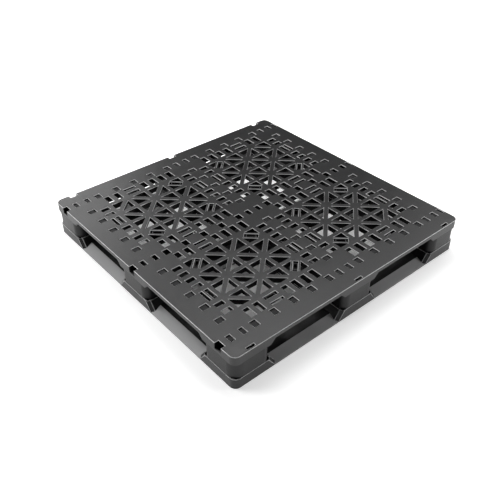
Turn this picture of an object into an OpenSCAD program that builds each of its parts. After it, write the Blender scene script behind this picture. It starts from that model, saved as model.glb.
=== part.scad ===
// Four-way entry plastic pallet with an open deck, nine legs and a picture-frame base.
// X runs along the front edge, Y from front to back, Z up. The origin is on the floor, at the centre.

/* [Overall] */
// Length along X
pallet_x = 1200; // [1120:5:1300]
// Width along Y
pallet_y = 1200; // [1120:5:1300]
// Height from the floor to the top of the deck
pallet_h = 150; // [140:1:180]

/* [Deck] */
// Plan radius of the corners of the deck
deck_corner_r = 27; // [12:1:32]
// Thickness of the top plate
plate_t = 4; // [3.5:0.5:6]
// Thickness of the ribs under the plate
wall_t = 4; // [3:0.5:5]
// Depth of the ribs under the lattice, from the top of the deck
wall_depth = 32; // [20:1:36]
// Thickness of the edge skirt
skirt_t = 6; // [4:0.5:8]
// Depth of the skirt over a fork opening, from the top of the deck
skirt_depth = 18; // [12:1:26]
// Run of the slope from the shallow skirt to the deep one beside a leg
skirt_slope = 20; // [10:1:40]

/* [Lattice] */
// Pitch of the lattice cells along X
cell_x = 90.4; // [84:0.2:96]
// Pitch of the lattice cells along Y
cell_y = 84.6; // [78:0.2:92]
// Width of a straight strip in a lattice
rib_w = 18.5; // [14:0.5:22]
// Width of a strip beside the band openings
band_rib_w = 22; // [16:0.5:25]
// Width of a diagonal strip
diagonal_w = 19.5; // [14:0.5:26]
// Width of a diagonal strip that holds a pocket
pocket_rib_w = 37; // [34:0.5:42]
// Least length of the openings in the bands round a lattice
band_min = 24; // [18:1:30]
// Land between the band openings and a bar channel, along X
land_x = 10.8; // [4:0.2:14]
// Land between the band openings and a bar channel, along Y
land_y = 8.2; // [4:0.2:14]

/* [Pockets] */
// Length of a pocket slot and of the plain slot beside it
pocket_l = 58; // [48:1:60]
// Width of a pocket in a band
pocket_w = 16.5; // [14:0.5:17]
// Width of a pocket in a lattice
cell_pocket_w = 20; // [16:0.5:22]
// Width of the plain slot
plain_w = 11.5; // [8:0.5:12]
// Gap left open at each end of a pocket
pocket_gap = 8; // [4:0.5:10]
// Depth of the collar in a pocket below the deck
collar_recess = 4; // [2:0.5:6]
// Height of that collar
collar_h = 14; // [8:1:20]
// Thickness of the collar round its slit
collar_t = 3.5; // [3:0.5:5]

/* [Holes over the bars] */
// Width of a hole along its row
hole_w = 25; // [18:1:30]
// Width of the narrow holes beside a leg line
narrow_w = 18.5; // [14:0.5:24]
// Length of a hole across its row
hole_l = 31.5; // [29:0.5:36]
// Distance of a narrow hole from the leg line
narrow_pitch = 26.5; // [22:0.5:30]

/* [Edge cut-outs] */
// Width of the edge notches and slots
cutout_w = 34; // [20:1:40]
// Depth of an open notch, in from the edge
notch_in = 18; // [10:1:22]
// Depth of an open notch, down from the top of the deck
notch_down = 26; // [12:1:30]
// Width of a closed slot
slot_w = 11; // [6:0.5:14]
// Land between a closed slot and the edge
slot_land = 6; // [6:0.5:10]

/* [Bars] */
// Width of a bar
bar_w = 23; // [18:0.5:26]
// Height of a bar
bar_h = 34; // [28:1:36]
// Wall of a bar
bar_wall = 2; // [1.5:0.5:4]
// Clearance beside a bar, between the nibs of its channel
bar_gap = 0.75; // [0.5:0.25:1.5]
// Clearance between a bar and the plate
bar_top_gap = 0.5; // [0.2:0.1:1]
// Distance of the ends of the cross bars from the edge of the deck
bar_inset = 35; // [30:1:60]

/* [Legs] */
// Size of a leg along X
leg_x = 160; // [150:1:180]
// Size of a leg along Y
leg_y = 168; // [155:1:185]
// Plan radius of the corners of a leg
leg_corner_r = 30; // [20:1:36]
// Plan radius of a leg at a corner of the pallet
leg_outer_r = 44; // [28:1:48]
// Wall of a leg
leg_wall = 6; // [4:0.5:8]
// Clearance between a leg and its foot
leg_gap = 1; // [0.5:0.25:2]
// Size of the lugs that locate a leg in the deck
lug_w = 30; // [20:1:32]
// Height of those lugs
lug_h = 24; // [12:1:28]
// Wall of a lug
lug_wall = 4; // [3:0.5:6]
// Clearance round a lug in its socket
lug_gap = 0.5; // [0.3:0.1:1]

/* [Base] */
// Plan radius of the corners of the base
base_corner_r = 26; // [12:1:36]
// Height of the runners
runner_h = 17; // [14:1:24]
// Thickness of the skin of the runners
base_skin = 6; // [4:0.5:8]
// Thickness of the ribs under the skin
base_rib = 5; // [3:0.5:8]
// Width of the entry ramps along the outer edges
ramp_w = 44; // [24:1:60]
// Height of the outer edge of an entry ramp
ramp_edge = 2; // [1:0.5:6]
// Width of the ramps round the windows
window_ramp_w = 20; // [8:1:30]
// Height of the lower edge of those ramps
window_edge = 6; // [2:0.5:10]
// Height of a foot
foot_h = 44; // [36:1:56]
// Thickness of the rim of a foot
foot_rim = 5; // [3:0.5:8]
// Spread of the flanks of a foot from rim to floor
foot_spread = 30; // [8:1:36]
// Bevel at the corners of a foot, along the edge
foot_bevel = 14; // [6:1:16]

/* [Screws] */
// Diameter of a screw
screw_d = 6; // [4:0.5:8]
// Length of a screw under its head
screw_l = 34; // [24:1:44]
// Diameter of a screw head
screw_head_d = 12; // [8:0.5:14]
// Height of a screw head
screw_head_h = 4; // [2:0.5:6]
// Clearance round a screw in the base
screw_gap = 0.25; // [0.1:0.05:0.5]
// Clearance round a screw in its boss
thread_gap = 0.05; // [0.02:0.01:0.1]
// Wall of a screw boss
boss_wall = 5; // [3:0.5:7]
// Offset of the screws from the centre of a leg
screw_off = 36; // [28:1:44]

/* [Hidden] */
$fn = 64;

// Overlap that lets a cut pass a face
past = 1;
side = [-1, 1];
line = [-1, 0, 1];

// Centre lines of the outer legs
leg_line_x = (pallet_x - leg_x) / 2;
leg_line_y = (pallet_y - leg_y) / 2;
// Half the width of a bar channel over its walls
channel_half = hole_l / 2 + wall_t;
// Heights of the underside of the plate and of the seat of the deck on the legs
plate_low = pallet_h - plate_t;
deck_seat = plate_low - bar_top_gap - bar_h;
// Cells along each side of a lattice, half its span from strip to strip, and the angle of its diagonals
cells_x = floor((leg_line_x - 2 * (channel_half + land_x + band_min) - band_rib_w) / cell_x);
cells_y = floor((leg_line_y - 2 * (channel_half + land_y + band_min) - band_rib_w) / cell_y);
lattice_x = cells_x * cell_x / 2;
lattice_y = cells_y * cell_y / 2;
diagonal_angle = atan2(cell_y, cell_x);
// Lengths of the band openings
band_x = leg_line_x / 2 - channel_half - land_x - lattice_x - band_rib_w / 2;
band_y = leg_line_y / 2 - channel_half - land_y - lattice_y - band_rib_w / 2;
// Offsets of the locating lugs from the centre of a leg
lug_x = (channel_half + leg_x / 2 - skirt_t) / 2;
lug_y = (channel_half + leg_y / 2 - skirt_t) / 2;
// Underside of the skin of the base
skin_low = runner_h - base_skin;
// Spread of a foot at the floor, beyond the leg
foot_out = foot_rim + foot_spread;

// Rectangle between two corners, with rounded corners; the corner towards at has its own radius
module rounded(low, high, r, at = [0, 0], at_r = 0) {
    difference() {
        translate(low) square(high - low);
        for (sx = side, sy = side) {
            radius = [sx, sy] == at ? at_r : r;
            translate([sx < 0 ? low[0] : high[0], sy < 0 ? low[1] : high[1]])
                mirror([sx > 0 ? 1 : 0, 0]) mirror([0, sy > 0 ? 1 : 0])
                    difference() {
                        translate([-past, -past]) square(radius + past);
                        translate([radius, radius]) circle(radius);
                    }
        }
    }
}

module pallet_outline(r, inset = 0) {
    half = [pallet_x / 2 - inset, pallet_y / 2 - inset];
    rounded(-half, half, r);
}

// Repeats a shape in the four quarters of the deck, mirrored so that +X and +Y point outwards
module quarters() {
    for (sx = side, sy = side)
        mirror([sx < 0 ? 1 : 0, 0]) mirror([0, sy < 0 ? 1 : 0])
            translate([leg_line_x / 2, leg_line_y / 2]) children();
}

module box_2d(size, grow = 0) {
    square([size[0] + 2 * grow, size[1] + 2 * grow], center = true);
}

function cell_place(i, j) = [(i - (cells_x - 1) / 2) * cell_x, (j - (cells_y - 1) / 2) * cell_y];
function has_pocket(i, j) = (i == 0 || i == cells_x - 1) && (j == 0 || j == cells_y - 1)
    && !(i == cells_x - 1 && j == cells_y - 1);

// Side to which the diagonal of a cell leans
function lean(i, j) = (i + j) % 2 == 0 ? -1 : 1;

// The two triangles of a cell, on either side of a diagonal strip of width w
module cell_openings(w) {
    a = (cell_x - rib_w) / 2;
    b = (cell_y - rib_w) / 2;
    reach = w / 2 * norm([cell_x, cell_y]);
    for (turn = [0, 180])
        rotate(turn)
            polygon([[-a, b], [(cell_x * b - reach) / cell_y, b], [-a, (reach - cell_y * a) / cell_x]]);
}

// One lattice of cells whose diagonal strips lean in turn to one side and the other
module lattice_openings() {
    for (i = [0:cells_x - 1], j = [0:cells_y - 1])
        translate(cell_place(i, j))
            mirror([lean(i, j) < 0 ? 1 : 0, 0])
                cell_openings(has_pocket(i, j) ? pocket_rib_w : diagonal_w);
}

// Bands of openings along the four sides of a lattice, with a plain slot beside each pocket
module band_openings() {
    for (s = side) {
        for (i = [0:cells_x - 1])
            translate([cell_place(i, 0)[0], s * (lattice_y + band_rib_w / 2)])
                if (i == cells_x - 2)
                    translate([0, s * (band_y - plain_w / 2)]) box_2d([pocket_l, plain_w]);
                else
                    for (t = side)
                        translate([t * cell_x / 4, s * band_y / 2])
                            box_2d([cell_x / 2 - band_rib_w, band_y]);
        for (j = [0:cells_y - 1])
            translate([s * (lattice_x + band_rib_w / 2), cell_place(0, j)[1]])
                if (j == cells_y - 2)
                    translate([s * (band_x - plain_w / 2), 0]) box_2d([plain_w, pocket_l]);
                else
                    for (t = side)
                        translate([s * band_x / 2, t * cell_y / 4])
                            box_2d([band_x, cell_y / 2 - band_rib_w]);
    }
}

// Places of the pockets of one lattice: one in each band, then three in corner cells; $wide is their width
module pocket_places() {
    $wide = pocket_w;
    for (s = side) {
        translate([cell_place(cells_x - 2, 0)[0], s * (lattice_y + (band_rib_w + pocket_w) / 2)]) children();
        translate([s * (lattice_x + (band_rib_w + pocket_w) / 2), cell_place(0, cells_y - 2)[1]])
            rotate(90) children();
    }
    for (i = [0, cells_x - 1], j = [0, cells_y - 1])
        if (has_pocket(i, j)) {
            $wide = cell_pocket_w;
            translate(cell_place(i, j)) rotate(lean(i, j) * diagonal_angle) children();
        }
}

module pocket_openings(grow = 0) {
    quarters() pocket_places() box_2d([pocket_l, $wide], grow);
}

// Holes along the leg lines, over the bars
module line_holes() {
    for (row = line, s = side) {
        for (k = [0:cells_x])
            translate([s * (leg_line_x / 2 + k * cell_x - lattice_x), row * leg_line_y])
                box_2d([hole_w, hole_l]);
        for (leg = line)
            translate([leg * leg_line_x + s * narrow_pitch, row * leg_line_y])
                box_2d([narrow_w, hole_l]);
        for (k = [0:cells_y])
            translate([row * leg_line_x, s * (leg_line_y / 2 + k * cell_y - lattice_y)])
                box_2d([hole_l, hole_w]);
    }
}

// Open notches in the left and back edges, at the leg lines
module notches() {
    for (k = line) {
        translate([-pallet_x / 2, k * leg_line_y]) box_2d([2 * notch_in, cutout_w]);
        translate([k * leg_line_x, pallet_y / 2]) box_2d([cutout_w, 2 * notch_in]);
    }
}

// Closed slots along the front and right edges, at the leg lines
module edge_slots() {
    inset = slot_land + slot_w / 2;
    for (k = line) {
        translate([k * leg_line_x, inset - pallet_y / 2]) box_2d([cutout_w, slot_w]);
        translate([pallet_x / 2 - inset, k * leg_line_y]) box_2d([slot_w, cutout_w]);
    }
}

module deck_plate() {
    translate([0, 0, plate_low])
        linear_extrude(plate_t)
            difference() {
                pallet_outline(deck_corner_r);
                quarters() {
                    lattice_openings();
                    band_openings();
                }
                pocket_openings();
                line_holes();
                notches();
                edge_slots();
            }
}

// Ribs under the strips of the lattices, and the walls of the pockets
module ribs() {
    translate([0, 0, pallet_h - wall_depth])
        linear_extrude(wall_depth - plate_t)
            difference() {
                union() {
                    quarters() {
                        for (k = [0:cells_x])
                            translate([k * cell_x - lattice_x, 0])
                                box_2d([wall_t, leg_line_y - hole_l - wall_t]);
                        for (k = [0:cells_y])
                            translate([0, k * cell_y - lattice_y])
                                box_2d([leg_line_x - hole_l - wall_t, wall_t]);
                        for (i = [0:cells_x - 1], j = [0:cells_y - 1])
                            translate(cell_place(i, j))
                                rotate(lean(i, j) * diagonal_angle) box_2d([norm([cell_x, cell_y]), wall_t]);
                    }
                    pocket_openings(wall_t);
                }
                pocket_openings();
            }
}

// Edge skirt, cut away to its shallow depth over the fork openings
module skirt() {
    difference() {
        translate([0, 0, deck_seat])
            linear_extrude(plate_low - deck_seat)
                difference() {
                    pallet_outline(deck_corner_r);
                    pallet_outline(deck_corner_r - skirt_t, skirt_t);
                }
        for (s = side) {
            translate([s * leg_line_x / 2, 0, 0]) skirt_cut(leg_line_x - leg_x, pallet_y);
            translate([0, s * leg_line_y / 2, 0]) rotate(90) skirt_cut(leg_line_y - leg_y, pallet_x);
        }
        translate([0, 0, pallet_h - notch_down]) linear_extrude(notch_down) notches();
    }
}

module skirt_cut(width, length) {
    top = pallet_h - skirt_depth;
    rotate([90, 0, 0])
        linear_extrude(length + 2 * past, center = true)
            polygon([
                [-width / 2, deck_seat - past], [width / 2, deck_seat - past], [width / 2, deck_seat],
                [width / 2 - skirt_slope, top], [skirt_slope - width / 2, top], [-width / 2, deck_seat]
            ]);
}

// Ends of the bars, and the spaces that they lie in
cross_bar_l = pallet_x - 2 * bar_inset;
long_space_l = 2 * (leg_line_y - channel_half);
long_bar_l = long_space_l - 2 * bar_gap;

// Plan of the spaces along the bars, of a given width
module bar_lines(width, wall) {
    for (s = side)
        translate([0, s * leg_line_y]) box_2d([cross_bar_l + 2 * bar_gap, width], wall);
    for (k = line)
        translate([k * leg_line_x, 0]) box_2d([width, long_space_l], wall);
}

// Plan of the channels: over the bars, and along the middle row of holes, which has no bar
module channel_plan(wall) {
    bar_lines(hole_l, wall);
    box_2d([2 * leg_line_x, hole_l], wall);
}

// Nibs between the holes, which keep a bar in the middle of its channel
module nibs() {
    for (s = side) {
        for (k = [0:cells_x - 1], row = side)
            translate([s * (leg_line_x / 2 + (k + 0.5) * cell_x - lattice_x), row * leg_line_y])
                box_2d([wall_t, hole_l]);
        for (k = [0:cells_y - 1], row = line)
            translate([row * leg_line_x, s * (leg_line_y / 2 + (k + 0.5) * cell_y - lattice_y)])
                box_2d([hole_l, wall_t]);
    }
}

module lug_places() {
    for (kx = line, ky = line, sx = side, sy = side)
        translate([kx * leg_line_x + sx * lug_x, ky * leg_line_y + sy * lug_y]) children();
}

// Channels for the bars and sockets for the lugs of the legs
module channels() {
    translate([0, 0, deck_seat])
        linear_extrude(plate_low - deck_seat)
            difference() {
                union() {
                    channel_plan(wall_t);
                    lug_places() box_2d([lug_w, lug_w], lug_gap + wall_t);
                }
                difference() {
                    channel_plan(0);
                    nibs();
                }
                bar_lines(bar_w + 2 * bar_gap, 0);
                lug_places() box_2d([lug_w, lug_w], lug_gap);
            }
}

// Recessed collars with a slit, one across the middle of each pocket
module collars() {
    length = pocket_l - 2 * pocket_gap;
    translate([0, 0, pallet_h - collar_recess - collar_h])
        linear_extrude(collar_h)
            quarters()
                pocket_places()
                    difference() {
                        box_2d([length, $wide + wall_t / 2]);
                        box_2d([length - 2 * collar_t, $wide - 2 * collar_t]);
                    }
}

module top_deck() {
    color("#2f3032") {
        deck_plate();
        ribs();
        skirt();
        channels();
        collars();
    }
}

// Plan of a leg, flush with the pallet's edge on the sides named by at; the other sides stand in by gap
module leg_outline(at, gap, edge, r, outer_r) {
    low = [-leg_x / 2 + (at[0] < 0 ? edge : gap), -leg_y / 2 + (at[1] < 0 ? edge : gap)];
    high = [leg_x / 2 - (at[0] > 0 ? edge : gap), leg_y / 2 - (at[1] > 0 ? edge : gap)];
    rounded(low, high, r, at, outer_r);
}

module screw_places() {
    for (s = side)
        translate([s * screw_off, -s * screw_off]) children();
}

// One leg: a hollow block with locating lugs on top and screw bosses inside
module leg(at) {
    tuck = foot_rim + leg_gap;
    shoulder = foot_h + leg_gap / 2;
    inner_r = leg_corner_r - tuck - leg_wall;
    outer_inner_r = leg_outer_r - tuck - leg_wall;
    color("#2b2c2e")
        translate([at[0] * leg_line_x, at[1] * leg_line_y, 0])
            difference() {
                union() {
                    translate([0, 0, shoulder])
                        linear_extrude(deck_seat - shoulder)
                            leg_outline(at, leg_gap, 0, leg_corner_r, leg_outer_r);
                    translate([0, 0, runner_h])
                        linear_extrude(shoulder - runner_h)
                            leg_outline(at, leg_gap, tuck, leg_corner_r - foot_rim, leg_outer_r - foot_rim);
                    translate([0, 0, deck_seat])
                        linear_extrude(lug_h)
                            for (sx = side, sy = side)
                                translate([sx * lug_x, sy * lug_y])
                                    difference() {
                                        box_2d([lug_w, lug_w]);
                                        box_2d([lug_w, lug_w], -lug_wall);
                                    }
                }
                translate([0, 0, runner_h - past])
                    linear_extrude(deck_seat - leg_wall - runner_h + past)
                        difference() {
                            leg_outline(at, leg_gap + leg_wall, tuck + leg_wall, inner_r, outer_inner_r);
                            screw_places() circle(screw_d / 2 + thread_gap + boss_wall);
                        }
                screw_places()
                    translate([0, 0, runner_h - past])
                        cylinder(r = screw_d / 2 + thread_gap, h = screw_l - base_skin + 2 * past);
            }
}

// Steel tube along X, lying on the legs
module bar(length) {
    color("#3a3b3d")
        translate([-length / 2, 0, deck_seat])
            rotate([90, 0, 90])
                linear_extrude(length)
                    translate([0, bar_h / 2])
                        difference() {
                            box_2d([bar_w, bar_h]);
                            box_2d([bar_w, bar_h], -bar_wall);
                        }
}

module cross_bar(s) {
    translate([0, s * leg_line_y, 0]) bar(cross_bar_l);
}

module long_bar(k) {
    translate([k * leg_line_x, 0, 0]) rotate(90) bar(long_bar_l);
}

// Solid between two outlines of as many points, one above the other
module loft(lower, upper, z_low, z_high) {
    n = len(lower);
    polyhedron(
        points = concat([for (p = lower) [p[0], p[1], z_low]], [for (p = upper) [p[0], p[1], z_high]]),
        faces = concat(
            [[for (i = [0:n - 1]) i]],
            [[for (i = [0:n - 1]) 2 * n - 1 - i]],
            [for (i = [0:n - 1]) [i, i + n, (i + 1) % n + n, (i + 1) % n]]
        )
    );
}

// Rectangle with bevelled corners, anticlockwise
function bevelled(low, high, bevel) = [
    [low[0] + bevel, low[1]], [high[0] - bevel, low[1]], [high[0], low[1] + bevel],
    [high[0], high[1] - bevel], [high[0] - bevel, high[1]], [low[0] + bevel, high[1]],
    [low[0], high[1] - bevel], [low[0], low[1] + bevel]
];

// Outline of a foot that stands out by out on the sides away from the pallet's edge
function foot_outline(at, out) = bevelled(
    [-leg_x / 2 - (at[0] < 0 ? 0 : out), -leg_y / 2 - (at[1] < 0 ? 0 : out)],
    [leg_x / 2 + (at[0] > 0 ? 0 : out), leg_y / 2 + (at[1] > 0 ? 0 : out)],
    foot_bevel
);

module leg_places() {
    for (kx = line, ky = line) {
        $at = [kx, ky];
        translate([kx * leg_line_x, ky * leg_line_y, 0]) children();
    }
}

function rectangle(half) = [[-half[0], -half[1]], [half[0], -half[1]], half, [-half[0], half[1]]];

// Window between four runners, with a ramp all round
module window_cut() {
    half = [(leg_line_x - leg_x) / 2, (leg_line_y - leg_y) / 2];
    top = runner_h + past;
    run = window_ramp_w * (top - window_edge) / (runner_h - window_edge);
    translate([0, 0, -past]) linear_extrude(window_edge + 2 * past) box_2d(2 * half);
    loft(rectangle(half), rectangle(half + [run, run]), window_edge, top);
}

// Wedge over the ramp along one outer edge
module ramp_cut(length, offset) {
    slope = (runner_h - ramp_edge) / ramp_w;
    rotate([90, 0, 90])
        linear_extrude(length + 2 * past, center = true)
            polygon([
                [-offset - past, ramp_edge - slope * past],
                [-offset + ramp_w + past, runner_h + slope * past],
                [-offset - past, runner_h + slope * past]
            ]);
}

module runners() {
    difference() {
        linear_extrude(runner_h) pallet_outline(base_corner_r);
        for (sx = side, sy = side)
            translate([sx * leg_line_x / 2, sy * leg_line_y / 2, 0]) window_cut();
        for (turn = [0, 180]) {
            rotate(turn) ramp_cut(pallet_x, pallet_y / 2);
            rotate(turn + 90) ramp_cut(pallet_y, pallet_x / 2);
        }
    }
}

module feet() {
    intersection() {
        leg_places()
            loft(foot_outline($at, foot_out), foot_outline($at, foot_rim), 0, foot_h);
        linear_extrude(foot_h) pallet_outline(base_corner_r);
    }
}

// Grid of pockets with ribs between them
module pocket_grid(size, count) {
    pitch = [(size[0] + base_rib) / count[0], (size[1] + base_rib) / count[1]];
    for (i = [0:count[0] - 1], j = [0:count[1] - 1])
        translate([(i - (count[0] - 1) / 2) * pitch[0], (j - (count[1] - 1) / 2) * pitch[1]])
            box_2d(pitch - [base_rib, base_rib]);
}

// Pockets under the feet and under the runners between them
module underside_pockets() {
    foot_border = 2 * (foot_rim + base_corner_r * (1 - cos(45)));
    leg_places() pocket_grid([leg_x - foot_border, leg_y - foot_border], [2, 2]);
    long = [leg_line_x - leg_x - 2 * foot_out, leg_line_y - leg_y - 2 * foot_out];
    for (k = line, s = side) {
        outer = k == 0 ? window_ramp_w : ramp_w;
        shift = -k * (outer - window_ramp_w) / 2;
        wide = [leg_x - outer - window_ramp_w, leg_y - outer - window_ramp_w];
        translate([s * leg_line_x / 2, k * leg_line_y + shift]) pocket_grid([long[0], wide[1]], [4, 2]);
        translate([k * leg_line_x + shift, s * leg_line_y / 2]) pocket_grid([wide[0], long[1]], [2, 4]);
    }
}

module base_frame() {
    color("#2d2e30")
        difference() {
            union() {
                runners();
                feet();
            }
            leg_places()
                translate([0, 0, runner_h])
                    linear_extrude(foot_h)
                        leg_outline($at, 0, foot_rim, foot_rim, base_corner_r - foot_rim);
            translate([0, 0, -past]) linear_extrude(skin_low + past) underside_pockets();
            leg_places() screw_places()
                cylinder(r = screw_d / 2 + screw_gap, h = runner_h + past);
        }
}

// Screws that hold the base to the legs, heads under the skin of the feet
module leg_screws() {
    color("#8c8f93")
        leg_places() screw_places() {
            translate([0, 0, skin_low - screw_head_h]) cylinder(d = screw_head_d, h = screw_head_h);
            translate([0, 0, skin_low]) cylinder(d = screw_d, h = screw_l);
        }
}

top_deck();
base_frame();
leg([-1, -1]);  // leg_front_left
leg([0, -1]);  // leg_front_middle
leg([1, -1]);  // leg_front_right
leg([-1, 0]);  // leg_left_middle
leg([0, 0]);  // leg_centre
leg([1, 0]);  // leg_right_middle
leg([-1, 1]);  // leg_back_left
leg([0, 1]);  // leg_back_middle
leg([1, 1]);  // leg_back_right
cross_bar(-1);  // cross_bar_front
cross_bar(1);  // cross_bar_back
long_bar(-1);  // long_bar_left
long_bar(0);  // long_bar_middle
long_bar(1);  // long_bar_right
leg_screws();
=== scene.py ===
"""Looks for a square plastic pallet: moulded pieces with soft edges, coated bars and a studio."""

import math

import bmesh
import bpy
from bpy.props import FloatProperty, FloatVectorProperty, PointerProperty
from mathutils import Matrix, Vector


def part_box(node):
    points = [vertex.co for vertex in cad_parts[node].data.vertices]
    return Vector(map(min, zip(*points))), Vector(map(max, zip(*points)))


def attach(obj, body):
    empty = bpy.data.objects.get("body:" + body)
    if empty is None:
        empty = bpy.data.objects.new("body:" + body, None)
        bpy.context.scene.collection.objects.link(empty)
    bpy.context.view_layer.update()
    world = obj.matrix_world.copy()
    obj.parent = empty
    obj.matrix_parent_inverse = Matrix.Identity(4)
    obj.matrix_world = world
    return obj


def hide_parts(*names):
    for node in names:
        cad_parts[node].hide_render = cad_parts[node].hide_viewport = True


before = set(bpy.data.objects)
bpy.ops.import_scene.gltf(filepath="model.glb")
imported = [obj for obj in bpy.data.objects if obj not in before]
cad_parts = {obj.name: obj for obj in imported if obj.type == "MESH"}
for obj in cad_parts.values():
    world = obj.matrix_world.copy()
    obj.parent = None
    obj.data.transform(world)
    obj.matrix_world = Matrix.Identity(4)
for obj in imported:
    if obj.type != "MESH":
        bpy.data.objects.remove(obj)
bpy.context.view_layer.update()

bl_info = {
    "name": "Plastic Pallet",
    "version": (1, 0, 0),
    "blender": (4, 5, 0),
    "location": "View3D > Sidebar > Pallet",
    "description": "Dresses a packed plastic pallet in its finishes and sets its stage",
    "category": "Object",
}

BODY = "root"
LEGS = (
    "leg_front_left",
    "leg_front_middle",
    "leg_front_right",
    "leg_left_middle",
    "leg_centre",
    "leg_right_middle",
    "leg_back_left",
    "leg_back_middle",
    "leg_back_right",
)
BARS = (
    "cross_bar_front",
    "cross_bar_back",
    "long_bar_left",
    "long_bar_middle",
    "long_bar_right",
)
SCREWS = "leg_screws"

# Faces that turn by more than SHARP meet in an edge, and by less than FLAT are one flat
SHARP = math.radians(25)
FLAT = math.radians(0.5)
# Lets any two triangles of a flat be joined
ANY_SHAPE = math.radians(178)
MERGE_M = 1e-5
# Strip along the deck's sides in which an edge counts as an outer one
EDGE_STRIP = 0.021
# Faces of the deck that lie inside its skirt and point up by less than this are walls
DECK_INSIDE = 0.578
WALL_SLOPE = 0.2
# Edges of the base stay sharp below this many roundings from the floor
FLOOR_CLEAR = 4
# Share of a face's area in its corners' normals
FLAT_WEIGHT = 90

# Mesh layer that says how far a face is painted pale as a highlight, and how far each piece's
# roundings are
EDGE_HIGHLIGHT = "painted_edge_highlight"
DECK_HIGHLIGHT = 1.0
RIM_HIGHLIGHT = 0.9
BASE_HIGHLIGHT = 0.7
LEG_HIGHLIGHT = 0.0
# Where the painted highlight on roundings and the painted sheen on the base's ramps come in and go
# out, by the upward part of a face's normal
RIM_SLOPES = ((0.985, 0.82),)
RAMP_SLOPES = ((0.8, 0.88), (0.985, 0.955))

GRAIN_STRENGTH = 0.4
GRAIN_DEPTH = 0.0012
ROUGH_SPREAD = 0.06
ZINC_DULL = (0.42, 0.43, 0.45)
ZINC_BRIGHT = (0.62, 0.63, 0.66)

FLOOR_HALF = 9.0
FLOOR_DROP = 0.0004
# Heights, as a part of a ray's direction, between which the horizon fades into the sky
HORIZON_FADE = (0.18, 0.22)
# Spans over which the floor's glow rises, and its share there: past the pallet's edge,
# under the pallet from front to back, and far out. The glow past the edge is painted light that
# pales the pallet's shadow there, and the glow under the pallet is painted light on the floor
# under its back, with none under its front
EDGE_GLOW = ((0.5, 0.62), 0.5)
UNDER_GLOW = ((-0.1, 0.42), 0.72)
FAR_GLOW = ((1.5, 4.0), 0.5)
TO_BACK = (0.7071, 0.7071, 0.0)

LAMP_SIZE = 2.0
LAMP_AIM = (0.0, 0.0, 0.1)
LEFT_LAMP = (-2.1, 2.1, 3.07)
RIGHT_LAMP = (2.97, 0.0, 3.07)
TOP_LAMP = (1.255, 1.255, 3.906)
FRONT_LAMP = (2.622, -2.622, 2.072)
SHEEN_LAMP = (0.32, 3.659, 2.136)
SENSOR_MM = 36.0


class PalletFinish(bpy.types.PropertyGroup):
    """Edges and colours of the pallet's pieces"""

    plastic_color: FloatVectorProperty(
        name="Plastic",
        description="Colour of the moulded plastic",
        subtype="COLOR",
        size=3,
        min=0.0,
        max=1.0,
        default=(0.009, 0.009, 0.0095),
    )
    plastic_dust: FloatVectorProperty(
        name="Plastic, dusty",
        description="Colour of the plastic in its paler streaks",
        subtype="COLOR",
        size=3,
        min=0.0,
        max=1.0,
        default=(0.015, 0.015, 0.0155),
    )
    # Painted highlight: the pale colour that upward roundings get, for the light that glints on
    # them
    plastic_rim_highlight: FloatVectorProperty(
        name="Plastic, rim",
        description="Colour of the rounded edges, rubbed pale",
        subtype="COLOR",
        size=3,
        min=0.0,
        max=1.0,
        default=(0.8, 0.8, 0.805),
    )
    # Painted sheen: the pale grey that the base's sloping ramps get, for the sheen of the lamps on
    # them
    plastic_ramp_sheen: FloatVectorProperty(
        name="Plastic, scuffed",
        description="Colour of the ramps of the base, scuffed by wheels",
        subtype="COLOR",
        size=3,
        min=0.0,
        max=1.0,
        default=(0.42, 0.42, 0.424),
    )
    coating_color: FloatVectorProperty(
        name="Bar coating",
        description="Colour of the coating on the bars",
        subtype="COLOR",
        size=3,
        min=0.0,
        max=1.0,
        default=(0.022, 0.022, 0.0225),
    )
    coating_worn: FloatVectorProperty(
        name="Bar coating, worn",
        description="Colour of the coating where it has rubbed in its channel",
        subtype="COLOR",
        size=3,
        min=0.0,
        max=1.0,
        default=(0.036, 0.036, 0.0365),
    )
    deck_edge: FloatProperty(
        name="Deck edge",
        description="Rounding of the outer edges of the deck",
        subtype="DISTANCE",
        unit="LENGTH",
        min=0.0005,
        max=0.0028,
        default=0.0024,
    )
    rim_edge: FloatProperty(
        name="Rim edge",
        description="Rounding of the rims of the openings in the deck",
        subtype="DISTANCE",
        unit="LENGTH",
        min=0.0005,
        max=0.004,
        default=0.0025,
    )
    base_edge: FloatProperty(
        name="Base edge",
        description="Rounding of the edges of the base",
        subtype="DISTANCE",
        unit="LENGTH",
        min=0.0005,
        max=0.004,
        default=0.0018,
    )
    leg_edge: FloatProperty(
        name="Leg edge",
        description="Rounding of the edges of the legs",
        subtype="DISTANCE",
        unit="LENGTH",
        min=0.0005,
        max=0.003,
        default=0.0012,
    )
    grain: FloatProperty(
        name="Grain",
        description="Grains per metre of the moulded texture",
        min=100.0,
        max=2000.0,
        default=260.0,
    )


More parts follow.
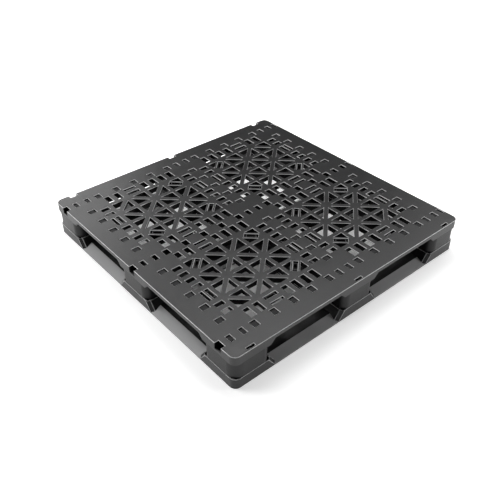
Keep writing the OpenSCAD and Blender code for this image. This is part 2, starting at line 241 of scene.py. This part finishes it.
class PalletStage(bpy.types.PropertyGroup):
    """Camera, floor and light"""

    floor_color: FloatVectorProperty(
        name="Floor",
        description="Colour of the floor",
        subtype="COLOR",
        size=3,
        min=0.0,
        max=1.0,
        default=(0.95, 0.95, 0.95),
    )
    floor_glow: FloatProperty(
        name="Floor glow",
        description="Light that the camera and reflections see on the floor besides the lamps",
        min=0.0,
        max=1.0,
        default=1.0,
    )
    horizon: FloatProperty(
        name="Horizon",
        description="Light that the surround near the horizon casts",
        min=0.0,
        max=2.0,
        default=0.25,
    )
    sky: FloatProperty(
        name="Sky",
        description="Light that the surround above the horizon casts",
        min=0.0,
        max=2.0,
        default=0.01,
    )
    left_power: FloatProperty(
        name="Left lamp",
        description="Power of the soft lamp behind on the left",
        subtype="POWER",
        unit="POWER",
        min=0.0,
        default=96.0,
    )
    right_power: FloatProperty(
        name="Right lamp",
        description="Power of the soft lamp on the right",
        subtype="POWER",
        unit="POWER",
        min=0.0,
        default=48.0,
    )
    top_power: FloatProperty(
        name="Top lamp",
        description="Power of the soft lamp high behind the pallet",
        subtype="POWER",
        unit="POWER",
        min=0.0,
        default=63.0,
    )
    front_power: FloatProperty(
        name="Front lamp",
        description="Power of the low lamp in front on the right",
        subtype="POWER",
        unit="POWER",
        min=0.0,
        default=40.0,
    )
    sheen_power: FloatProperty(
        name="Sheen lamp",
        description="Power of the low lamp whose sheen lies on the far left corner",
        subtype="POWER",
        unit="POWER",
        min=0.0,
        default=45.0,
    )
    lens: FloatProperty(
        name="Lens",
        description="Focal length of the camera",
        subtype="DISTANCE_CAMERA",
        min=10.0,
        default=46.137,
    )
    target: FloatVectorProperty(
        name="Target",
        description="Point on the deck that the camera looks at",
        subtype="TRANSLATION",
        unit="LENGTH",
        size=3,
        default=(-0.19079, -0.20152, 0.15),
    )
    view_from: FloatVectorProperty(
        name="View from",
        description="Direction from the target to the camera",
        subtype="DIRECTION",
        size=3,
        default=(-0.5154, -0.6, 0.6119),
    )
    distance: FloatProperty(
        name="Distance",
        description="Distance of the camera from the target",
        subtype="DISTANCE",
        unit="LENGTH",
        min=0.1,
        default=2.47208,
    )


# Shared effects


def moulded_texture():
    """Node group with the grain, the mottling and the rubbed streaks of a finish."""
    group = bpy.data.node_groups.get("moulded_texture")
    if group:
        return group
    group = bpy.data.node_groups.new("moulded_texture", "ShaderNodeTree")
    face = group.interface
    face.new_socket("Vector", in_out="INPUT", socket_type="NodeSocketVector")
    grain = face.new_socket("Grain", in_out="INPUT", socket_type="NodeSocketFloat")
    grain.default_value = 700.0
    patch = face.new_socket("Patch", in_out="INPUT", socket_type="NodeSocketFloat")
    patch.default_value = 9.0
    for name in ("Height", "Rubbed", "Mottle"):
        face.new_socket(name, in_out="OUTPUT", socket_type="NodeSocketFloat")
    nodes, links = group.nodes, group.links
    given = nodes.new("NodeGroupInput")
    out = nodes.new("NodeGroupOutput")

    fine = nodes.new("ShaderNodeTexNoise")
    fine.inputs["Detail"].default_value = 3.0
    fine.inputs["Roughness"].default_value = 0.6
    links.new(given.outputs["Vector"], fine.inputs["Vector"])
    links.new(given.outputs["Grain"], fine.inputs["Scale"])
    links.new(fine.outputs["Fac"], out.inputs["Height"])

    mottle = nodes.new("ShaderNodeTexNoise")
    mottle.inputs["Detail"].default_value = 5.0
    mottle.inputs["Roughness"].default_value = 0.55
    links.new(given.outputs["Vector"], mottle.inputs["Vector"])
    links.new(given.outputs["Patch"], mottle.inputs["Scale"])
    links.new(mottle.outputs["Fac"], out.inputs["Mottle"])

    streak_place = nodes.new("ShaderNodeMapping")
    streak_place.inputs["Rotation"].default_value = (0.0, 0.0, 0.6)
    streak_place.inputs["Scale"].default_value = (8.0, 90.0, 40.0)
    links.new(given.outputs["Vector"], streak_place.inputs["Vector"])
    streak = nodes.new("ShaderNodeTexNoise")
    streak.inputs["Scale"].default_value = 1.0
    streak.inputs["Detail"].default_value = 4.0
    links.new(streak_place.outputs["Vector"], streak.inputs["Vector"])
    pick = nodes.new("ShaderNodeMapRange")
    pick.inputs["From Min"].default_value = 0.56
    pick.inputs["From Max"].default_value = 0.74
    links.new(streak.outputs["Fac"], pick.inputs["Value"])
    links.new(pick.outputs["Result"], out.inputs["Rubbed"])
    return group


def new_material(name):
    """Material with an empty node tree but for its shader and its Object coordinates."""
    material = bpy.data.materials.new(name)
    material.use_nodes = True
    tree = material.node_tree
    tree.nodes.clear()
    out = tree.nodes.new("ShaderNodeOutputMaterial")
    shader = tree.nodes.new("ShaderNodeBsdfPrincipled")
    tree.links.new(shader.outputs["BSDF"], out.inputs["Surface"])
    place = tree.nodes.new("ShaderNodeTexCoord")
    return material, tree, shader, place


def textured(tree, place, grain, patch):
    """Node of the moulded texture, on a piece's own coordinates."""
    texture = tree.nodes.new("ShaderNodeGroup")
    texture.node_tree = moulded_texture()
    texture.inputs["Grain"].default_value = grain
    texture.inputs["Patch"].default_value = patch
    tree.links.new(place.outputs["Object"], texture.inputs["Vector"])
    return texture


def raise_grain(tree, texture, shader, strength, depth):
    """Lets a shader show the grain of a texture as relief."""
    bump = tree.nodes.new("ShaderNodeBump")
    bump.inputs["Strength"].default_value = strength
    bump.inputs["Distance"].default_value = depth
    tree.links.new(texture.outputs["Height"], bump.inputs["Height"])
    tree.links.new(bump.outputs["Normal"], shader.inputs["Normal"])


def ranged(tree, source, low, high):
    """Node that spreads a mask between two values."""
    spread = tree.nodes.new("ShaderNodeMapRange")
    spread.inputs["To Min"].default_value = low
    spread.inputs["To Max"].default_value = high
    tree.links.new(source, spread.inputs["Value"])
    return spread.outputs["Result"]


def rising(tree, source, span, top=1.0):
    """Node that rises from 0 to a top value over a span."""
    rise = tree.nodes.new("ShaderNodeMapRange")
    rise.inputs["From Min"].default_value = span[0]
    rise.inputs["From Max"].default_value = span[1]
    rise.inputs["To Max"].default_value = top
    tree.links.new(source, rise.inputs["Value"])
    return rise.outputs["Result"]


def joined(tree, operation, first, second):
    """Node that works out one value from two."""
    join = tree.nodes.new("ShaderNodeMath")
    join.operation = operation
    tree.links.new(first, join.inputs[0])
    tree.links.new(second, join.inputs[1])
    return join.outputs["Value"]


def blended(tree, mask, first, second):
    """Node that blends two colours by a mask."""
    mix = tree.nodes.new("ShaderNodeMix")
    mix.data_type = "RGBA"
    tree.links.new(mask, mix.inputs["Factor"])
    mix.inputs["A"].default_value = (*first, 1.0)
    mix.inputs["B"].default_value = (*second, 1.0)
    return mix.outputs["Result"]


def covered(tree, mask, color, cover):
    """Node that lays a colour over another by a mask."""
    mix = tree.nodes.new("ShaderNodeMix")
    mix.data_type = "RGBA"
    tree.links.new(mask, mix.inputs["Factor"])
    tree.links.new(color, mix.inputs["A"])
    mix.inputs["B"].default_value = (*cover, 1.0)
    return mix.outputs["Result"]


def slope_mask(tree, place, slopes):
    """Node that is 1 between the slopes where a painted highlight or painted sheen comes in and
    goes out.
    """
    split = tree.nodes.new("ShaderNodeSeparateXYZ")
    tree.links.new(place.outputs["Normal"], split.inputs["Vector"])
    mask = None
    for slope in slopes:
        step = rising(tree, split.outputs["Z"], slope)
        mask = step if mask is None else joined(tree, "MULTIPLY", mask, step)
    return mask


def plastic_material(name, look, patch, rough, shine, ramp_sheen=False):
    """Black moulded plastic with a fine grain, pale streaks, uneven gloss, roundings painted pale
    as a highlight and, if asked, ramps painted pale as a sheen.
    """
    material, tree, shader, place = new_material(name)
    texture = textured(tree, place, look.grain, patch)
    streaks = joined(tree, "MULTIPLY", texture.outputs["Rubbed"], texture.outputs["Mottle"])
    color = blended(tree, streaks, look.plastic_color, look.plastic_dust)
    # Painted sheen: the sloping ramps are coloured pale grey for the sheen of the lamps on them
    if ramp_sheen:
        ramps = slope_mask(tree, place, RAMP_SLOPES)
        color = covered(tree, ramps, color, look.plastic_ramp_sheen)
    # Painted highlight: roundings that face up are coloured pale where light would glint on them
    edge = tree.nodes.new("ShaderNodeAttribute")
    edge.attribute_name = EDGE_HIGHLIGHT
    rims = slope_mask(tree, place, RIM_SLOPES)
    rubbed = joined(tree, "MULTIPLY", edge.outputs["Fac"], rims)
    color = covered(tree, rubbed, color, look.plastic_rim_highlight)
    tree.links.new(color, shader.inputs["Base Color"])
    tree.links.new(
        ranged(tree, texture.outputs["Mottle"], rough - ROUGH_SPREAD, rough + ROUGH_SPREAD),
        shader.inputs["Roughness"],
    )
    shader.inputs["Specular IOR Level"].default_value = shine
    raise_grain(tree, texture, shader, GRAIN_STRENGTH, GRAIN_DEPTH)
    return material


def coating_material(look):
    """Black coating on steel, rubbed grey along the bars."""
    material, tree, shader, place = new_material("bar_coating")
    texture = textured(tree, place, grain=1200.0, patch=25.0)
    tree.links.new(
        blended(tree, texture.outputs["Rubbed"], look.coating_color, look.coating_worn),
        shader.inputs["Base Color"],
    )
    tree.links.new(
        ranged(tree, texture.outputs["Mottle"], low=0.62, high=0.78),
        shader.inputs["Roughness"],
    )
    shader.inputs["Specular IOR Level"].default_value = 0.2
    raise_grain(tree, texture, shader, strength=0.08, depth=0.0002)
    return material


def zinc_material():
    """Zinc-plated steel with a faint mottle."""
    material, tree, shader, place = new_material("zinc_steel")
    texture = textured(tree, place, grain=1500.0, patch=120.0)
    shader.inputs["Metallic"].default_value = 1.0
    tree.links.new(
        blended(tree, texture.outputs["Mottle"], ZINC_DULL, ZINC_BRIGHT),
        shader.inputs["Base Color"],
    )
    tree.links.new(
        ranged(tree, texture.outputs["Mottle"], low=0.28, high=0.48),
        shader.inputs["Roughness"],
    )
    return material


# Pieces


def merged(node, whole=False):
    """Mesh of a CAD node with its triangles joined in pairs, or into whole faces."""
    shape = bmesh.new()
    shape.from_mesh(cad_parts[node].data)
    shape.faces.layers.float.new(EDGE_HIGHLIGHT)
    bmesh.ops.remove_doubles(shape, verts=shape.verts, dist=MERGE_M)
    if whole:
        bmesh.ops.dissolve_limit(
            shape, angle_limit=FLAT, verts=shape.verts, edges=shape.edges
        )
    else:
        bmesh.ops.join_triangles(
            shape,
            faces=shape.faces,
            angle_face_threshold=FLAT,
            angle_shape_threshold=ANY_SHAPE,
        )
    return shape


def soften(shape, edges, radius, segments, highlight_share):
    """Rounds edges that a mould would not leave sharp, and marks how far their roundings are
    painted pale as a highlight.
    """
    made = bmesh.ops.bevel(
        shape,
        geom=edges,
        offset=radius,
        offset_type="OFFSET",
        segments=segments,
        profile=0.5,
        affect="EDGES",
        clamp_overlap=False,
        material=-1,
    )
    # Marks the new roundings for the painted highlight
    rubbed = shape.faces.layers.float[EDGE_HIGHLIGHT]
    for face in made["faces"]:
        face[rubbed] = highlight_share


def finished(shape, name, node, slot, *materials):
    """Object for a shaped piece that stands for a CAD node."""
    mesh = bpy.data.meshes.new(name)
    shape.to_mesh(mesh)
    shape.free()
    mesh.polygons.foreach_set("use_smooth", [True] * len(mesh.polygons))
    mesh.set_sharp_from_angle(angle=SHARP)
    for material in materials:
        mesh.materials.append(material)
    piece = bpy.data.objects.new(name, mesh)
    flats = piece.modifiers.new("even_flats", "WEIGHTED_NORMAL")
    flats.keep_sharp = True
    flats.weight = FLAT_WEIGHT
    bpy.context.scene.collection.objects.link(piece)
    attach(piece, BODY)
    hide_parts(node)


def recoat(node, material):
    """Gives a CAD node that keeps its shape another finish."""
    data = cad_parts[node].data
    data.materials.clear()
    data.materials.append(material)


def sharp_edges(shape):
    """Outward edges that are sharp."""
    return [
        edge
        for edge in shape.edges
        if edge.is_manifold and edge.is_convex and edge.calc_face_angle() > SHARP
    ]


def upper_edges(shape, outer):
    """Sharp edges of the deck's top, along its outer edges or further in."""
    _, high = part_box("top_deck")
    return [
        edge
        for edge in sharp_edges(shape)
        if all(vert.co.z > high.z - MERGE_M for vert in edge.verts)
        and outer
        == all(
            max(abs(vert.co.x) - high.x, abs(vert.co.y) - high.y) > -EDGE_STRIP
            for vert in edge.verts
        )
    ]


class PALLET_OT_top_deck(bpy.types.Operator):
    """Makes the moulded deck with rounded upper edges and rims painted pale as highlights, and
    walls in its openings that reflect less, as painted shade
    """

    bl_idname = "pallet.top_deck"
    bl_label = "Top Deck"

    def execute(self, context):
        look = context.scene.pallet_finish
        shape = merged("top_deck")
        rims = upper_edges(shape, outer=False)
        soften(shape, rims, look.rim_edge, segments=3, highlight_share=RIM_HIGHLIGHT)
        sides = upper_edges(shape, outer=True)
        soften(shape, sides, look.deck_edge, segments=3, highlight_share=DECK_HIGHLIGHT)
        # Painted shade: the walls inside the openings get a copy of the plastic that reflects far
        # less, so they stay dark as if in shade
        for face in shape.faces:
            x, y, _ = face.calc_center_median()
            if face.normal.z < WALL_SLOPE and max(abs(x), abs(y)) < DECK_INSIDE:
                face.material_index = 1
        top = plastic_material("deck_black", look, patch=7.0, rough=0.38, shine=0.55)
        walls = plastic_material("deck_walls_painted_shade", look, patch=7.0, rough=0.38, shine=0.06)
        finished(shape, "moulded_deck", "top_deck", "deck_plastic", top, walls)
        return {"FINISHED"}


class PALLET_OT_base_frame(bpy.types.Operator):
    """Makes the moulded base with its feet, runners and ramps, its ramps painted pale as a sheen
    and its roundings as a highlight
    """

    bl_idname = "pallet.base_frame"
    bl_label = "Base Frame"

    def execute(self, context):
        look = context.scene.pallet_finish
        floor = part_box("base_frame")[0].z
        shape = merged("base_frame", whole=True)
        rims = [
            edge
            for edge in sharp_edges(shape)
            if any(vert.co.z > floor + look.base_edge * FLOOR_CLEAR for vert in edge.verts)
        ]
        soften(shape, rims, look.base_edge, segments=2, highlight_share=BASE_HIGHLIGHT)
        # The base gets the painted sheen on its ramps
        material = plastic_material(
            "base_black", look, patch=8.0, rough=0.34, shine=0.38, ramp_sheen=True
        )
        finished(shape, "moulded_base", "base_frame", "base_plastic", material)
        return {"FINISHED"}


class PALLET_OT_legs(bpy.types.Operator):
    """Makes the nine hollow legs"""

    bl_idname = "pallet.legs"
    bl_label = "Legs"

    def execute(self, context):
        look = context.scene.pallet_finish
        material = plastic_material("leg_black", look, patch=10.0, rough=0.4, shine=0.35)
        for node in LEGS:
            shape = merged(node)
            soften(shape, sharp_edges(shape), look.leg_edge, segments=2, highlight_share=LEG_HIGHLIGHT)
            finished(shape, "moulded_" + node, node, "leg_plastic", material)
        return {"FINISHED"}


class PALLET_OT_bars(bpy.types.Operator):
    """Coats the reinforcing bars"""

    bl_idname = "pallet.bars"
    bl_label = "Bars"

    def execute(self, context):
        material = coating_material(context.scene.pallet_finish)
        for node in BARS:
            recoat(node, material)
        return {"FINISHED"}


class PALLET_OT_leg_screws(bpy.types.Operator):
    """Plates the screws that hold the base to the legs"""

    bl_idname = "pallet.leg_screws"
    bl_label = "Leg Screws"

    def execute(self, context):
        recoat(SCREWS, zinc_material())
        return {"FINISHED"}


# Stage


def soft_lamp(name, place, power):
    """Large square lamp that faces the pallet."""
    lamp = bpy.data.lights.new(name, "AREA")
    lamp.shape = "SQUARE"
    lamp.size = LAMP_SIZE
    lamp.energy = power
    stand = bpy.data.objects.new(name, lamp)
    stand.location = place
    stand.rotation_euler = (
        (Vector(LAMP_AIM) - Vector(place)).to_track_quat("-Z", "Y").to_euler()
    )
    bpy.context.scene.collection.objects.link(stand)


def seen_rays(tree):
    """Node that is 1 on rays that show a background: of the camera, a mirror or glass."""
    path = tree.nodes.new("ShaderNodeLightPath")
    most = path.outputs["Is Camera Ray"]
    for name in ("Is Glossy Ray", "Is Transmission Ray"):
        most = joined(tree, "MAXIMUM", most, path.outputs[name])
    return most


def floor_material(stage):
    """Pale floor that keeps shadows and glows where it is seen, least under the pallet's front;
    the glow is painted light that pales the shadow past the pallet's edge and lights the floor
    under its back.
    """
    material = bpy.data.materials.new("studio_floor")
    material.use_nodes = True
    tree = material.node_tree
    tree.nodes.clear()
    out = tree.nodes.new("ShaderNodeOutputMaterial")
    both = tree.nodes.new("ShaderNodeAddShader")
    matt = tree.nodes.new("ShaderNodeBsdfDiffuse")
    matt.inputs["Color"].default_value = (*stage.floor_color, 1.0)
    glow = tree.nodes.new("ShaderNodeEmission")
    place = tree.nodes.new("ShaderNodeTexCoord")
    away = tree.nodes.new("ShaderNodeVectorMath")
    away.operation = "LENGTH"
    tree.links.new(place.outputs["Object"], away.inputs[0])
    back = tree.nodes.new("ShaderNodeVectorMath")
    back.operation = "DOT_PRODUCT"
    tree.links.new(place.outputs["Object"], back.inputs[0])
    back.inputs[1].default_value = TO_BACK
    near = joined(
        tree,
        "MAXIMUM",
        rising(tree, away.outputs["Value"], *EDGE_GLOW),
        rising(tree, back.outputs["Value"], *UNDER_GLOW),
    )
    total = joined(tree, "ADD", near, rising(tree, away.outputs["Value"], *FAR_GLOW))
    seen = joined(tree, "MULTIPLY", total, seen_rays(tree))
    tree.links.new(
        ranged(tree, seen, 0.0, stage.floor_glow), glow.inputs["Strength"]
    )
    tree.links.new(matt.outputs["BSDF"], both.inputs[0])
    tree.links.new(glow.outputs["Emission"], both.inputs[1])
    tree.links.new(both.outputs["Shader"], out.inputs["Surface"])
    return material


def studio_world(stage):
    """Soft surround, white where the horizon is seen and dim overhead."""
    world = bpy.data.worlds.new("studio_world")
    world.use_nodes = True
    tree = world.node_tree
    tree.nodes.clear()
    out = tree.nodes.new("ShaderNodeOutputWorld")
    sky = tree.nodes.new("ShaderNodeBackground")
    sky.inputs["Color"].default_value = (1.0, 1.0, 1.0, 1.0)
    place = tree.nodes.new("ShaderNodeTexCoord")
    split = tree.nodes.new("ShaderNodeSeparateXYZ")
    tree.links.new(place.outputs["Generated"], split.inputs["Vector"])
    fade = rising(tree, split.outputs["Z"], HORIZON_FADE)
    level = tree.nodes.new("ShaderNodeMix")
    tree.links.new(fade, level.inputs["Factor"])
    tree.links.new(ranged(tree, seen_rays(tree), stage.horizon, 1.0), level.inputs["A"])
    level.inputs["B"].default_value = stage.sky
    tree.links.new(level.outputs["Result"], sky.inputs["Strength"])
    tree.links.new(sky.outputs["Background"], out.inputs["Surface"])
    return world


class PALLET_OT_stage(bpy.types.Operator):
    """Sets the floor, the soft light and the camera"""

    bl_idname = "pallet.stage"
    bl_label = "Stage"

    def execute(self, context):
        scene = context.scene
        stage = scene.pallet_stage
        shape = bmesh.new()
        bmesh.ops.create_grid(shape, x_segments=1, y_segments=1, size=FLOOR_HALF)
        bmesh.ops.translate(shape, verts=shape.verts, vec=(0.0, 0.0, -FLOOR_DROP))
        mesh = bpy.data.meshes.new("studio_floor")
        shape.to_mesh(mesh)
        shape.free()
        mesh.materials.append(floor_material(stage))
        floor = bpy.data.objects.new("studio_floor", mesh)
        scene.collection.objects.link(floor)

        scene.world = studio_world(stage)
        soft_lamp("left_lamp", LEFT_LAMP, stage.left_power)
        soft_lamp("right_lamp", RIGHT_LAMP, stage.right_power)
        soft_lamp("top_lamp", TOP_LAMP, stage.top_power)
        soft_lamp("front_lamp", FRONT_LAMP, stage.front_power)
        soft_lamp("sheen_lamp", SHEEN_LAMP, stage.sheen_power)

        lens = bpy.data.cameras.new("photo_camera")
        lens.lens = stage.lens
        lens.sensor_width = SENSOR_MM
        camera = bpy.data.objects.new("photo_camera", lens)
        back = Vector(stage.view_from).normalized()
        camera.location = Vector(stage.target) + back * stage.distance
        camera.rotation_euler = (-back).to_track_quat("-Z", "Y").to_euler()
        scene.collection.objects.link(camera)
        scene.camera = camera
        scene.view_settings.view_transform = "Standard"
        return {"FINISHED"}


class PALLET_PT_panel(bpy.types.Panel):
    """Lists the pallet's pieces and their settings"""

    bl_idname = "PALLET_PT_panel"
    bl_label = "Plastic Pallet"
    bl_space_type = "VIEW_3D"
    bl_region_type = "UI"
    bl_category = "Pallet"

    def draw(self, context):
        for settings in (context.scene.pallet_finish, context.scene.pallet_stage):
            for name in settings.__annotations__:
                self.layout.prop(settings, name)
        for operator in OPERATORS:
            self.layout.operator(operator.bl_idname)


OPERATORS = (
    PALLET_OT_top_deck,
    PALLET_OT_base_frame,
    PALLET_OT_legs,
    PALLET_OT_bars,
    PALLET_OT_leg_screws,
    PALLET_OT_stage,
)
CLASSES = (PalletFinish, PalletStage, *OPERATORS, PALLET_PT_panel)


def register():
    """Adds the classes and their settings."""
    for cls in CLASSES:
        bpy.utils.register_class(cls)
    bpy.types.Scene.pallet_finish = PointerProperty(type=PalletFinish)
    bpy.types.Scene.pallet_stage = PointerProperty(type=PalletStage)


def unregister():
    """Removes the classes and their settings."""
    del bpy.types.Scene.pallet_stage
    del bpy.types.Scene.pallet_finish
    for cls in reversed(CLASSES):
        bpy.utils.unregister_class(cls)


def main():
    """Makes every piece and the stage."""
    register()
    bpy.ops.pallet.top_deck()
    bpy.ops.pallet.base_frame()
    bpy.ops.pallet.legs()
    bpy.ops.pallet.bars()
    bpy.ops.pallet.leg_screws()
    bpy.ops.pallet.stage()


if __name__ == "__main__":
    main()
